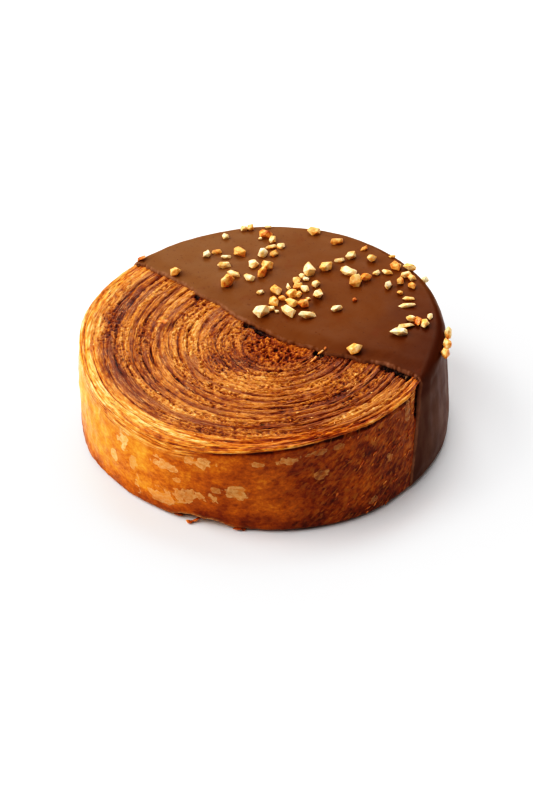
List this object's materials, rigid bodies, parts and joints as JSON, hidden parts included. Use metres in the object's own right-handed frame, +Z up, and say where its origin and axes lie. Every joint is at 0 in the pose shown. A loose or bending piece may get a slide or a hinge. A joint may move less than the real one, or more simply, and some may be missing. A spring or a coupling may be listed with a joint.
{
  "type": "new york roll pastry",
  "caption": "Round laminated croissant roll with a spiral top, one side dipped in milk chocolate and strewn with chopped roasted nuts.",
  "frame": {"origin": "middle of the flat base that the roll was baked on", "axes": "+Z up out of the rolled top, +Y towards the chocolate side, +X along the edge of the chocolate"},
  "size_m": [0.1264, 0.124, 0.0415],
  "materials": {
    "baked_pastry": "baked laminated dough, golden to dark brown, satin where the butter has glazed it",
    "milk_chocolate": "set milk chocolate with a soft satin sheen, holding pale golden chopped roasted nuts"
  },
  "bodies": {
    "root": {"laminated_roll": "baked_pastry", "chocolate_coat": "milk_chocolate"}
  },
  "joints": []
}
